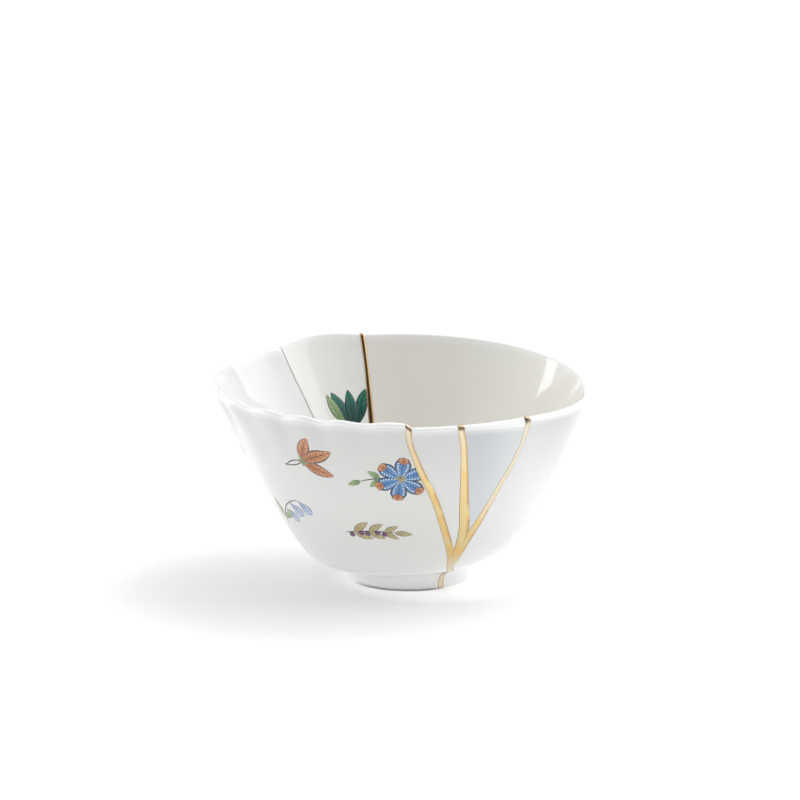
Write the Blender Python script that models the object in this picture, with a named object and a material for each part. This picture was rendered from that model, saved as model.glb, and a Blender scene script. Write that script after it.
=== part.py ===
"""A small porcelain bowl mended with gold.

Shards of two thin bowls, one with a wavy rim and one with a plain rim, are
joined by raised gold seams. The bowl stands on its foot ring. Lengths are in
metres, +Z is up, and the bowl's front faces -Y.
"""

import math

import bmesh
import bpy
import numpy as np

# The whole bowl
BOWL_HEIGHT = 0.0758
RIM_RADIUS_SIDE = 0.07055
RIM_RADIUS_FRONT = 0.0715
WALL_AT_FOOT = 0.0031
WALL_AT_RIM = 0.0023
LIP_HEIGHT = 0.7 * WALL_AT_RIM
FLOOR_THICKNESS = 0.0039
FLOOR_FLAT = 0.8

# The foot ring, whose axis stands to the right of the rim's
FOOT_SHIFT = 0.0030
RIM_SHIFT = -0.0006
FOOT_HEIGHT = 0.0064
FOOT_CORNER_RADIUS = 0.0240
FOOT_BASE_RADIUS = 0.0227
FOOT_RING_WIDTH = 0.0028
FOOT_EDGE = 0.0005
RECESS_HEIGHT = 0.0047

# The wall's curve: two handles between the foot's corner and the rim, as
# shares of the way out and of the way up, for each side of the bowl
BELLY_LEFT = ((0.261, 0.0), (0.310, -0.090))
BELLY_RIGHT = ((0.302, 0.097), (0.504, 0.033))

# The rim: waves on the left shard, an arch on the back one, and on the right one
# a plain line, which rises and dips from seam to seam (azimuth in degrees, rise)
WAVED_RIM = (
    (-229.0, -0.00084), (-225.5, -0.00039), (-221.5, -0.00011), (-217.0, -0.0004),
    (-210.0, -0.00077), (-202.5, -0.00021), (-197.5, -0.00028), (-191.0, -0.0001),
    (-184.5, -0.0005), (-177.0, -0.00025), (-168.0, -0.0003), (-158.0, -0.0008),
    (-148.5, 0.001), (-140.5, 0.0001), (-132.5, 0.001), (-126.5, -0.00018),
    (-119.5, 0.00106), (-114.0, -0.00049), (-107.7, 0.00074), (-100.5, -0.00035),
    (-93.5, 0.00061), (-87.4, -0.00011),
)
# How far a wave swells out for each unit that it rises
WAVE_OUT = 1.33
WAVE_START = 0.84
ARCH_RISE = 0.0017
ARCH_SWELL = 0.0008
PLAIN_RIM = (
    (-49.0, -0.0018), (-20.0, -0.0036), (-2.0, -0.0042), (12.0, -0.0024),
    (30.0, -0.0013), (50.0, 0.0), (75.0, 0.0009), (101.9, 0.0011),
)
WEDGE_DROP = 0.0015

# The shards, each from one seam to the next round the rim, in degrees
SHARDS = (
    # name, first azimuth, last azimuth, columns
    ("left_shard", -229.0, -87.4, 49),
    ("front_left_wedge", -87.4, -71.9, 4),
    ("front_right_wedge", -71.9, -49.0, 5),
    ("right_shard", -49.0, 101.9, 27),
    ("back_wedge", 101.9, 131.0, 7),
)
SEAM_COLUMN = 0.5

# The seams: azimuth in degrees, share of the bowl's height, width
FRONT_TO_BACK_FRONT = (
    (-49.0, 0.985, 0.0018), (-49.3, 0.87, 0.0015), (-50.9, 0.76, 0.0014),
    (-55.3, 0.59, 0.0019), (-59.4, 0.45, 0.0030), (-64.2, 0.30, 0.0036),
    (-66.6, 0.18, 0.0026),
)
FRONT_TO_BACK_REAR = (
    (105.2, 0.17, 0.0026), (103.4, 0.38, 0.0025), (102.4, 0.61, 0.0022),
    (101.8, 0.82, 0.0016), (101.9, 0.985, 0.0018),
)
FRONT_LEFT = (
    (-87.4, 0.985, 0.0022), (-87.1, 0.90, 0.0023), (-83.8, 0.74, 0.0026),
    (-78.9, 0.58, 0.0026), (-73.9, 0.40, 0.0028), (-69.4, 0.26, 0.0028),
    (-66.6, 0.16, 0.0022),
)
FRONT_MIDDLE = (
    (-71.9, 0.985, 0.0025), (-70.6, 0.88, 0.0025), (-69.4, 0.74, 0.0029),
    (-67.7, 0.55, 0.0038), (-65.7, 0.39, 0.0042), (-66.0, 0.27, 0.0038),
    (-66.4, 0.17, 0.0026),
)
BACK_LEFT = (
    (131.0, 0.985, 0.0009), (129.7, 0.86, 0.0008), (127.8, 0.74, 0.0008),
    (124.2, 0.56, 0.0010), (115.0, 0.40, 0.0012), (104.0, 0.30, 0.0014),
)
# Where the long seam crosses the foot, as shares of the foot's radius
FLOOR_CROSSING = ((0.50, -0.84), (0.27, -0.33), (0.08, 0.27), (-0.22, 0.92))
FLOOR_WIDTH = 0.0023

# The gold
GOLD_PROUD = 0.00035
JOINT_GAP = 0.0003

PORCELAIN = {"color": (0.90, 0.90, 0.88, 1.0), "roughness": 0.12, "metallic": 0.0}
GOLD = {"color": (0.83, 0.60, 0.25, 1.0), "roughness": 0.22, "metallic": 1.0}

WALL_ROWS = (0.0, 0.12, 0.24, 0.36, 0.48, 0.60, 0.72, 0.83, 0.92, 1.0)
LIP_STEPS = 3
STATIONS = 4


def clear_scene():
    """Take every object out of the scene."""
    for item in list(bpy.data.objects):
        bpy.data.objects.remove(item, do_unlink=True)


def make_material(name, look):
    """Return a Principled material with one colour, roughness and metallic value."""
    material = bpy.data.materials.new(name)
    material.use_nodes = True
    shader = material.node_tree.nodes["Principled BSDF"]
    shader.inputs["Base Color"].default_value = look["color"]
    shader.inputs["Roughness"].default_value = look["roughness"]
    shader.inputs["Metallic"].default_value = look["metallic"]
    material.diffuse_color = look["color"]
    return material


def shard_at(azimuth):
    """Return the name of the shard that holds the rim at this azimuth in degrees."""
    for name, first, last, _ in SHARDS:
        if (azimuth - first) % 360.0 <= last - first:
            return name
    return SHARDS[0][0]


def rim_change(azimuth):
    """Return how far the rim stands above and outside the plain rim here."""
    name = shard_at(azimuth)
    if name == "left_shard":
        turns, rises = smooth(WAVED_RIM).T
        rise = np.interp(-((-azimuth) % 360.0), turns, rises)
        return rise, WAVE_OUT * rise
    if name == "back_wedge":
        _, first, last, _ = SHARDS[-1]
        share = np.clip((azimuth % 360.0 - first) / (last - first), 0.0, 1.0)
        arch = math.sin(math.pi * share)
        return (1.0 - share) * PLAIN_RIM[-1][1] + ARCH_RISE * arch, ARCH_SWELL * arch
    if name == "right_shard":
        turns, rises = smooth(PLAIN_RIM).T
        return np.interp(azimuth, turns, rises), 0.0
    return -WEDGE_DROP, 0.0


def wall_handles(azimuth):
    """Return the four points (radius, height) of the wall's curve at this azimuth."""
    angle = math.radians(azimuth)
    rise, swell = rim_change(azimuth)
    rim_radius = 1.0 / math.hypot(math.cos(angle) / RIM_RADIUS_SIDE,
                                  math.sin(angle) / RIM_RADIUS_FRONT)
    foot = np.array((FOOT_CORNER_RADIUS, FOOT_HEIGHT))
    rim = np.array((rim_radius, BOWL_HEIGHT - LIP_HEIGHT))
    right = (1.0 + math.cos(angle)) / 2.0
    shares = (1.0 - right) * np.array(BELLY_LEFT) + right * np.array(BELLY_RIGHT)
    low, high = foot + shares * (rim - foot)
    return foot, low, high, rim, np.array((swell, rise))


def wall_curve(azimuth, rows):
    """Return the outer wall's points and outward normals at the given rows.

    The wall is a cubic curve from the foot's corner (row 0) to the rim (row 1).
    The rim's own rise and swell fade in from WAVE_START up.
    """
    foot, low, high, rim, change = wall_handles(azimuth)
    t = np.asarray(rows, dtype=float)[:, None]
    points = ((1 - t) ** 3 * foot + 3 * (1 - t) ** 2 * t * low
              + 3 * (1 - t) * t ** 2 * high + t ** 3 * rim)
    slope = 3 * ((1 - t) ** 2 * (low - foot) + 2 * (1 - t) * t * (high - low)
                 + t ** 2 * (rim - high))
    fade = np.clip((t - WAVE_START) / (1.0 - WAVE_START), 0.0, 1.0)
    points = points + change * fade ** 2
    slope = slope / np.linalg.norm(slope, axis=1, keepdims=True)
    normals = np.stack((slope[:, 1], -slope[:, 0]), axis=1)
    return points, normals


def section(azimuth, proud):
    """Return the bowl's section at one azimuth, from below the floor to above it.

    The points run out under the foot, up the outer wall, round the lip and
    down the inner wall. Every face stands proud by the given depth, except
    the flat one that the bowl rests on.
    """
    ring_inner = FOOT_BASE_RADIUS - FOOT_RING_WIDTH
    under = [(0.0, RECESS_HEIGHT), (ring_inner - 2 * FOOT_EDGE, RECESS_HEIGHT),
             (ring_inner, RECESS_HEIGHT - 2 * FOOT_EDGE),
             (ring_inner, FOOT_EDGE), (ring_inner + FOOT_EDGE, 0.0),
             (FOOT_BASE_RADIUS - FOOT_EDGE, 0.0), (FOOT_BASE_RADIUS, FOOT_EDGE)]
    lip = WALL_AT_RIM / 2.0
    outer, normals = wall_curve(azimuth, WALL_ROWS)
    thickness = WALL_AT_FOOT + (WALL_AT_RIM - WALL_AT_FOOT) * np.array(WALL_ROWS)[:, None]
    inner = outer - normals * thickness
    out = normals[-1]
    up = np.array((-out[1], out[0]))
    centre = outer[-1] - lip * out
    turns = np.linspace(0.0, math.pi, LIP_STEPS + 2)[1:-1, None]
    round_lip = centre + lip * (np.cos(turns) * out + np.sin(turns) * up)
    floor = RECESS_HEIGHT + FLOOR_THICKNESS
    inner[:, 1] = np.maximum(inner[:, 1], floor + FOOT_EDGE)
    edge = FLOOR_FLAT * FOOT_CORNER_RADIUS
    top = [(edge, floor), (edge / 2, floor), (0.0, floor)]
    points = np.concatenate((under, outer, round_lip, inner[::-1], top))
    along = np.gradient(points, axis=0)
    along /= np.linalg.norm(along, axis=1, keepdims=True)
    raised = points + proud * np.stack((along[:, 1], -along[:, 0]), axis=1)
    raised[points[:, 1] == 0.0, 1] = 0.0
    raised[(0, -1), 0] = 0.0
    return raised


def place(azimuth, points):
    """Turn section points (radius, height) into places round the bowl.

    A section's axis leans from the foot's axis at the base to the rim's centre.
    """
    angle = math.radians(azimuth)
    radius, height = points[:, 0], points[:, 1]
    shift = FOOT_SHIFT + (RIM_SHIFT - FOOT_SHIFT) * height / BOWL_HEIGHT
    return np.stack((shift + radius * math.cos(angle), radius * math.sin(angle), height), axis=1)


def columns():
    """Return the azimuths of the sections, with one just inside each seam."""
    turns = [np.linspace(first + SEAM_COLUMN, last - SEAM_COLUMN, count)
             for _, first, last, count in SHARDS]
    return np.concatenate(turns)


def loft(name, rings, closed):
    """Skin a row of rings into one closed body and return its mesh.

    A closed loft joins its last ring to its first, and the rings' first and
    last points meet on an axis. An open loft is capped at both ends.
    """
    shape = bmesh.new()
    rows = [[shape.verts.new(point) for point in ring] for ring in rings]
    size = len(rows[0])
    pairs = list(zip(rows, rows[1:] + rows[:1])) if closed else list(zip(rows, rows[1:]))
    for here, there in pairs:
        for index in range(size if not closed else size - 1):
            after = (index + 1) % size
            shape.faces.new((here[index], there[index], there[after], here[after]))
    if not closed:
        shape.faces.new(rows[0])
        shape.faces.new(rows[-1][::-1])
    bmesh.ops.remove_doubles(shape, verts=shape.verts, dist=1e-6)
    bmesh.ops.dissolve_degenerate(shape, dist=1e-6, edges=shape.edges)
    bmesh.ops.recalc_face_normals(shape, faces=shape.faces)
    mesh = bpy.data.meshes.new(name)
    shape.to_mesh(mesh)
    shape.free()
    return mesh


def bowl_mesh(name, proud):
    """Return the whole bowl, unbroken, with its faces standing proud."""
    rings = [place(azimuth, section(azimuth, proud)) for azimuth in columns()]
    return loft(name, rings, closed=True)


def wall_stop(azimuth, share):
    """Return a place on the outer wall, at a share of the bowl's height, and its normal."""
    points, normals = wall_curve(azimuth, np.linspace(0.0, 1.0, 200))
    height = share * BOWL_HEIGHT
    point = np.array([[np.interp(height, points[:, 1], points[:, axis]) for axis in (0, 1)]])
    normal = np.array([np.interp(height, points[:, 1], normals[:, axis]) for axis in (0, 1)])
    angle = math.radians(azimuth)
    outward = (normal[0] * math.cos(angle), normal[0] * math.sin(angle), normal[1])
    return place(azimuth, point)[0], np.array(outward)


def wall_stops(course):
    """Return the stops of a seam on the wall: place, outward normal and width."""
    return [(*wall_stop(azimuth, share), width) for azimuth, share, width in course]


def floor_stops():
    """Return the stops of the long seam under the bowl's floor."""
    height = RECESS_HEIGHT + FLOOR_THICKNESS / 2.0
    down = np.array((0.0, 0.0, -1.0))
    stops = []
    for right, back in FLOOR_CROSSING:
        x = FOOT_SHIFT + right * FOOT_CORNER_RADIUS
        stops.append((np.array((x, back * FOOT_CORNER_RADIUS, height)), down, FLOOR_WIDTH))
    return stops


def smooth(values):
    """Return a smooth curve through the values, with STATIONS steps to each span."""
    values = np.asarray(values, dtype=float).reshape(len(values), -1)
    ends = np.concatenate((2 * values[:1] - values[1:2], values, 2 * values[-1:] - values[-2:-1]))
    t = np.linspace(0.0, 1.0, STATIONS, endpoint=False)[:, None]
    spans = []
    for a, b, c, d in zip(ends, ends[1:], ends[2:], ends[3:]):
        spans.append(b + 0.5 * t * ((c - a) + t * ((2 * a - 5 * b + 4 * c - d)
                                                   + t * (3 * (b - c) + d - a))))
    return np.concatenate(spans + [values[-1:]])


def blade(name, stops, past_ends, extra, collection):
    """Make the cutter of one seam: a band as wide as the seam that stands through the wall.

    The band runs past the first stop, and past the last one where past_ends
    says so, and is wider than the seam by extra.
    """
    path = smooth([stop[0] for stop in stops])
    outward = smooth([stop[1] for stop in stops])
    width = smooth([[stop[2]] for stop in stops])
    reach = 2.5 * WALL_AT_FOOT
    for end, inner in ((0, 1), (-1, -2))[:2 if past_ends else 1]:
        ahead = path[end] - path[inner]
        tip = path[end] + reach * ahead / np.linalg.norm(ahead)
        place_at = 0 if end == 0 else len(path)
        path = np.insert(path, place_at, tip, axis=0)
        outward = np.insert(outward, place_at, outward[end], axis=0)
        width = np.insert(width, place_at, width[end], axis=0)
    along = np.gradient(path, axis=0)
    side = np.cross(along, outward)
    side /= np.linalg.norm(side, axis=1, keepdims=True)
    outward = np.cross(side, along)
    outward /= np.linalg.norm(outward, axis=1, keepdims=True)
    half = (width / 2.0 + extra) * side
    outside = path + (FOOT_HEIGHT + WALL_AT_FOOT) * outward
    inside = path - 2.0 * WALL_AT_FOOT * outward
    rings = np.stack((outside - half, outside + half, inside + half, inside - half), axis=1)
    cutter = bpy.data.objects.new(name, loft(name, rings, closed=False))
    cutter.hide_render = True
    cutter.display_type = "WIRE"
    collection.objects.link(cutter)
    return cutter


def boolean(target, other, operation):
    """Apply one exact Boolean to an object's mesh."""
    modifier = target.modifiers.new(operation.title(), "BOOLEAN")
    modifier.operation = operation
    modifier.solver = "EXACT"
    modifier.use_self = True
    modifier.object = other
    graph = bpy.context.evaluated_depsgraph_get()
    mesh = bpy.data.meshes.new_from_object(target.evaluated_get(graph))
    target.modifiers.clear()
    target.data = mesh


def seam_network(label, extra, collection):
    """Return one cutter for all the seams together, wider than them by extra."""
    long_seam = wall_stops(FRONT_TO_BACK_FRONT) + floor_stops() + wall_stops(FRONT_TO_BACK_REAR)
    network = blade(f"{label}_long", long_seam, True, extra, collection)
    for name, course in (("front_left", FRONT_LEFT), ("front_middle", FRONT_MIDDLE),
                         ("back_left", BACK_LEFT)):
        branch = blade(f"{label}_{name}", wall_stops(course), False, extra, collection)
        boolean(network, branch, "UNION")
    return network


def loose_bodies(mesh):
    """Split a mesh into its separate closed bodies."""
    whole = bmesh.new()
    whole.from_mesh(mesh)
    left = set(whole.verts)
    bodies = []
    while left:
        found = {left.pop()}
        edge_of_search = set(found)
        while edge_of_search:
            near = {edge.other_vert(vert) for vert in edge_of_search for edge in vert.link_edges}
            edge_of_search = near - found
            found |= edge_of_search
        left -= found
        body = bmesh.new()
        order = sorted(found, key=lambda vert: vert.index)
        copies = {vert: body.verts.new(vert.co) for vert in order}
        faces = {face for vert in found for face in vert.link_faces}
        for face in sorted(faces, key=lambda face: face.index):
            body.faces.new([copies[vert] for vert in face.verts])
        bodies.append(body)
    whole.free()
    return bodies


def rim_spot(name):
    """Return the middle of a shard's rim."""
    _, first, last, _ = next(shard for shard in SHARDS if shard[0] == name)
    return wall_stop((first + last) / 2.0, 0.97)[0]


def finish_mesh(mesh, material):
    """Give a body its material and shade its curved faces smooth."""
    mesh.materials.clear()
    mesh.materials.append(material)
    mesh.shade_smooth()
    mesh.set_sharp_from_angle(angle=math.radians(35.0))


def build_shards(cutters, collection, material):
    """Cut the unbroken bowl along its seams and name each shard by its place."""
    bowl = bpy.data.objects.new("unbroken_bowl", bowl_mesh("unbroken_bowl", 0.0))
    bowl.hide_render = True
    bowl.display_type = "WIRE"
    cutters.objects.link(bowl)
    boolean(bowl, seam_network("cut", JOINT_GAP, cutters), "DIFFERENCE")
    bodies = loose_bodies(bowl.data)
    for name, *_ in SHARDS:
        spot = rim_spot(name)
        body = min(bodies, key=lambda body: min(np.linalg.norm(np.array(vert.co) - spot)
                                                for vert in body.verts))
        mesh = bpy.data.meshes.new(name)
        body.to_mesh(mesh)
        finish_mesh(mesh, material)
        collection.objects.link(bpy.data.objects.new(name, mesh))
    for body in bodies:
        body.free()


def build_gold(cutters, collection, material):
    """Fill the seams with gold that stands proud of both faces of the wall."""
    gold = bpy.data.objects.new("gold_seams", bowl_mesh("gold_seams", GOLD_PROUD))
    collection.objects.link(gold)
    boolean(gold, seam_network("gold", 0.0, cutters), "INTERSECT")
    finish_mesh(gold.data, material)


def main():
    """Build the bowl."""
    clear_scene()
    parts = bpy.data.collections.new("mended_bowl")
    cutters = bpy.data.collections.new("cutters")
    bpy.context.scene.collection.children.link(parts)
    bpy.context.scene.collection.children.link(cutters)
    build_shards(cutters, parts, make_material("porcelain", PORCELAIN))
    build_gold(cutters, parts, make_material("gold", GOLD))


main()
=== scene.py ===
"""Looks of a small porcelain bowl mended with gold.

Shards of two thin bowls, one with a wavy rim and one with a plain rim, are
joined by raised gold seams, and small sprigs are painted on them. Lengths are
in metres, angles in degrees, +Z is up and the bowl's front faces -Y.
"""
import logging
import math
from collections.abc import Callable, Sequence
from dataclasses import dataclass, replace
from enum import Enum, auto
from functools import cache
from typing import Any

import bmesh
import bpy
import numpy as np
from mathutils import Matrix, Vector


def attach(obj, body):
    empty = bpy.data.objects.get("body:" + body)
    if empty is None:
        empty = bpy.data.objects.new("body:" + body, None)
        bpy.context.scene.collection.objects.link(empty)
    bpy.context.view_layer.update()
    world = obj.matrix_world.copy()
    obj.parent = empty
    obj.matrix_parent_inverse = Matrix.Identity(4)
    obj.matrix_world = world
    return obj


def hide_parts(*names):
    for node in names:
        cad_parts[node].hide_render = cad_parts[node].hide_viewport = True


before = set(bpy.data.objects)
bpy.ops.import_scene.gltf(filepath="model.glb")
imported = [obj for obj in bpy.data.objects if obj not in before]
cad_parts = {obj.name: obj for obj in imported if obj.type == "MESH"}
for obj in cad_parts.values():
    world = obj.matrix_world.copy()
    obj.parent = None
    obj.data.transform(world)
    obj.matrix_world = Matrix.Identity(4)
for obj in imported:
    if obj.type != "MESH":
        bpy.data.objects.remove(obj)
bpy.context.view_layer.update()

LOG = logging.getLogger("mended_bowl")
BODY = "root"
BLACK = (0.0, 0.0, 0.0)
Grid = np.ndarray
Color = tuple[float, float, float]
Stops = tuple[tuple[float, float], ...]


class Slot(Enum):
    """The record's material slots."""

    PORCELAIN = "porcelain"
    GOLD = "gold"


class Side(Enum):
    """Which face of the wall a thing lies on."""

    OUTSIDE = auto()
    INSIDE = auto()


class RimLine(Enum):
    """How a shard's rim runs."""

    WAVED = auto()
    PLAIN = auto()
    ARCHED = auto()
    LOWERED = auto()


# Shapes


def smooth_line(values: Sequence[Sequence[float]], steps: int) -> Grid:
    """Draw a smooth line through stops, as a Catmull-Rom curve.

    Between two stops the line is the cubic whose slope at each stop is half
    the way from the stop before it to the stop after it.

    Args:
        values: The stops, one row each.
        steps: How many steps each span takes.

    Returns:
        The line's points, one row each.
    """
    stops = np.asarray(values, dtype=float)
    ends = np.concatenate((2 * stops[:1] - stops[1:2], stops, 2 * stops[-1:] - stops[-2:-1]))
    t = np.linspace(0.0, 1.0, steps, endpoint=False)[None, :, None]
    a, b, c, d = (ends[i:len(ends) - 3 + i][:, None, :] for i in range(4))
    spans = b + 0.5 * t * ((c - a) + t * ((2 * a - 5 * b + 4 * c - d) + t * (3 * (b - c) + d - a)))
    return np.concatenate((spans.reshape(-1, stops.shape[1]), stops[-1:]))


def smooth_step(values: Grid | float) -> Grid:
    """Ease values from 0 to 1 with the cubic 3v^2 - 2v^3, level outside them."""
    v = np.clip(values, 0.0, 1.0)
    return v * v * (3.0 - 2.0 * v)


def unit(vectors: Grid) -> Grid:
    """Scale vectors to a length of one."""
    return vectors / np.maximum(np.linalg.norm(vectors, axis=-1, keepdims=True), 1e-12)


def curve(first: Grid, corner: Grid, last: Grid, q: Grid) -> Grid:
    """Return places on the quadratic curve that rounds off a corner, from q 0 to 1."""
    return (1 - q) ** 2 * first + 2 * q * (1 - q) * corner + q ** 2 * last


def direction(turn: float, tilt: float) -> tuple[float, float, float]:
    """Return the direction at an azimuth and a height over the horizon, in degrees."""
    around, up = math.radians(turn), math.radians(tilt)
    return math.cos(around) * math.cos(up), math.sin(around) * math.cos(up), math.sin(up)


@dataclass(frozen=True)
class Course:
    """A seam's way over the bowl.

    Attributes:
        wall: Stops from the rim down: azimuth, share of the bowl's height, width.
        base: Azimuths under the floor, at even steps from the middle out; a branch has none.
        base_width: Its width there.
    """

    wall: tuple[tuple[float, float, float], ...]
    base: tuple[float, ...] = (0.0, 0.0)
    base_width: float = 0.0022


class Seam(Enum):
    """The seams, each named for where it meets the rim."""

    RIGHT = Course(
        ((-49.0, 1.0, 0.0021), (-49.3, 0.87, 0.0019), (-50.9, 0.76, 0.0018),
         (-55.3, 0.59, 0.0023), (-59.4, 0.45, 0.0031), (-64.2, 0.30, 0.0036),
         (-66.6, 0.18, 0.0026)),
        (-61.6, -61.4, -59.3, -57.0, -59.5))
    MIDDLE = Course(
        ((-71.9, 1.0, 0.0025), (-70.6, 0.88, 0.0025), (-69.4, 0.74, 0.0029),
         (-67.7, 0.55, 0.0038), (-65.7, 0.39, 0.0042), (-66.0, 0.27, 0.0038),
         (-66.4, 0.17, 0.0026)))
    LEFT = Course(
        ((-87.4, 1.0, 0.0022), (-87.1, 0.90, 0.0023), (-83.8, 0.74, 0.0026),
         (-78.9, 0.58, 0.0026), (-73.9, 0.40, 0.0028), (-69.4, 0.26, 0.0028),
         (-66.6, 0.16, 0.0022)))
    BACK = Course(
        ((101.9, 1.0, 0.0018), (101.8, 0.82, 0.0016), (102.4, 0.61, 0.0022),
         (103.4, 0.38, 0.0025), (105.2, 0.17, 0.0026)),
        (93.8, 95.5, 98.8, 100.6, 103.9))
    BACK_LEFT = Course(
        ((131.0, 1.0, 0.0007), (129.7, 0.86, 0.0006), (127.8, 0.74, 0.0006),
         (124.2, 0.56, 0.0008), (115.0, 0.40, 0.0010), (104.0, 0.30, 0.0012)))

    @property
    def at_rim(self) -> float:
        """Return the azimuth at which it meets the rim."""
        return self.value.wall[0][0]


@dataclass
class Form:
    """The unbroken bowl, as a surface over azimuth and row.

    Rows run from the middle of the underside out over the foot ring, up the
    outer wall, round the lip, down the inner wall and in over the floor, so
    that row k below lies under row (last - k) above.

    Attributes:
        height: The rim's height, without its own rises.
        rim_side: The rim's radius to the left and the right.
        rim_front: Its radius to the front and the back.
        rim_shift: How far to the right the rim's middle lies.
        wall_at_foot: The wall's thickness at the foot.
        wall_at_rim: Its thickness at the rim.
        lip_share: How high the lip is, as a share of the wall's thickness.
        floor_height: The height of the floor's middle, inside.
        floor_flat: How far out the floor is level, as a share of its radius.
        floor_curl: The power with which it curls up beyond.
        foot_shift: How far to the right the foot's middle lies.
        foot_height: The height at which the wall meets the foot.
        foot_corner: The foot's radius there.
        foot_base: The foot ring's outer radius at the ground.
        foot_ring: How wide the foot ring is.
        foot_edge: The height below which the clay is bare.
        foot_lift: How far the foot ring stands off the ground.
        foot_rounding: How far each of the underside's corners is rounded, from the middle out.
        fillet_drop: How far down the foot the fillet to the wall starts.
        recess_height: The height of the recess inside the foot ring.
        recess_pole: How far further right the rows' innermost point lies.
        belly_left: The wall curve's two inner handles at the left, as shares of the way
            from the foot to the rim, out and up.
        belly_right: The same at the right.
        waved_rim: The waved rim's stops, each an azimuth and a rise.
        wave_out: How far it swells out, as a multiple of its rise.
        wave_start: The wall's parameter from which the rim's own changes fade in.
        arch_rise: How far the arched rim rises in its middle.
        arch_swell: How far it swells out there.
        plain_rim: The plain rim's stops.
        wedge_drop: How far the front wedges' rim lies below the height.
        lip_slant: How far the outer wall stops short of the rim.
        slant_from: The azimuth from which a shard's own slant is added.
        slant_to: The azimuth at which it is added in full.
        base_rows: How many rows the underside has.
        fillet_rows: How many the fillet has.
        wall_rows: How many the wall has on each side.
        lip_rows: How many the lip has.
        fillet_end: The wall's parameter where the fillet ends.
    """

    height: float = 0.0757
    rim_side: float = 0.0704
    rim_front: float = 0.0714
    rim_shift: float = -0.0006
    wall_at_foot: float = 0.0031
    wall_at_rim: float = 0.0023
    lip_share: float = 0.7
    floor_height: float = 0.0086
    floor_flat: float = 0.4
    floor_curl: float = 1.8
    foot_shift: float = 0.0030
    foot_height: float = 0.0064
    foot_corner: float = 0.0240
    foot_base: float = 0.0227
    foot_ring: float = 0.0028
    foot_edge: float = 0.0005
    foot_lift: float = 0.00006
    foot_rounding: tuple[float, float, float] = (0.0012, 0.0005, 0.0009)
    fillet_drop: float = 0.0044
    recess_height: float = 0.0047
    recess_pole: float = 0.0040
    belly_left: Stops = ((0.261, 0.0), (0.310, -0.090))
    belly_right: Stops = ((0.302, 0.097), (0.504, 0.033))
    waved_rim: Stops = (
        (-229.0, -0.00084), (-225.5, -0.00039), (-221.5, -0.00011), (-217.0, -0.0004),
        (-210.0, -0.00077), (-202.5, -0.00021), (-197.5, -0.00028), (-191.0, -0.0001),
        (-184.5, -0.0005), (-177.0, -0.00025), (-168.0, -0.0003), (-158.0, -0.0008),
        (-148.5, 0.001), (-140.5, 0.0001), (-132.5, 0.001), (-126.5, -0.00018),
        (-119.5, 0.00106), (-114.0, -0.00049), (-107.7, 0.00074), (-100.5, -0.00035),
        (-93.5, 0.00061), (-87.4, -0.00011))
    wave_out: float = 1.33
    wave_start: float = 0.84
    arch_rise: float = 0.0017
    arch_swell: float = 0.0008
    plain_rim: Stops = (
        (-49.0, -0.0018), (-20.0, -0.0036), (-2.0, -0.0042), (12.0, -0.0024),
        (30.0, -0.0013), (50.0, 0.0), (75.0, 0.0009), (101.9, 0.0011))
    wedge_drop: float = 0.0015
    lip_slant: float = 0.0003
    slant_from: float = -72.1
    slant_to: float = -49.0
    base_rows: int = 40
    fillet_rows: int = 9
    wall_rows: int = 72
    lip_rows: int = 9
    fillet_end: float = 0.145

    def __post_init__(self) -> None:
        """Lay out the rows; mark with one those inside, on the lip, under its outer corner where a
        dark reflection is painted on the gold, and bare.
        """
        self.lip_height = self.lip_share * self.wall_at_rim
        self.wall_t = np.linspace(self.fillet_end, 1.0, self.wall_rows)
        self.half = self.base_rows + self.fillet_rows
        self.rows = 2 * (self.half + self.wall_rows) + self.lip_rows
        self.under = self._under_line()
        self.row_t = np.concatenate((
            np.zeros(self.half), self.wall_t, np.ones(self.lip_rows),
            self.wall_t[::-1], np.zeros(self.half)))
        over = np.arange(self.rows) - self.half - self.wall_rows
        self.inward = smooth_step(over / self.lip_rows)
        # Rows under the lip's outer corner, where a dark reflection is painted on the gold.
        self.brim = 1.0 - smooth_step(np.abs(over - 1.4) / 2.6)
        from_lip = np.abs(np.arange(self.rows) - (self.rows - 1) / 2) - self.lip_rows / 2
        self.lip = 1.0 - smooth_step(from_lip)
        self.bare = np.zeros(self.rows)
        self.bare[:self.base_rows] = self.under[:, 1] < self.foot_edge

    def _under_line(self) -> Grid:
        """Return the underside's line: recess, foot ring and foot wall, corners rounded.

        Each corner is a quadratic curve between two points a little way from it.

        Returns:
            Points (radius, height), from the middle out.
        """
        ring = self.foot_base - self.foot_ring
        bottom = self.foot_lift
        corners = np.array(((0.0, self.recess_height), (ring, self.recess_height),
                            (ring, bottom), (self.foot_base, bottom),
                            (self.foot_corner, self.foot_height)))
        steps = 5
        flat_end = corners[1] - (self.foot_rounding[0], 0.0)
        line = [np.linspace(corners[0], flat_end, self.base_rows - 4 * steps + 2)[:-1]]
        q = np.linspace(0.0, 1.0, steps)[:, None]
        for before, corner, after, near in zip(corners, corners[1:], corners[2:],
                                               self.foot_rounding):
            line.append(curve(corner + near * unit(before - corner), corner,
                              corner + near * unit(after - corner), q))
        last = corners[-1] + self.fillet_drop * unit(corners[-2] - corners[-1])
        line.append(np.linspace(line[-1][-1], last, steps)[1:])
        return np.concatenate(line)

    def thickness(self, t: Grid) -> Grid:
        """Return the wall's thickness at each of its parameters."""
        return self.wall_at_foot + (self.wall_at_rim - self.wall_at_foot) * t

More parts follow.
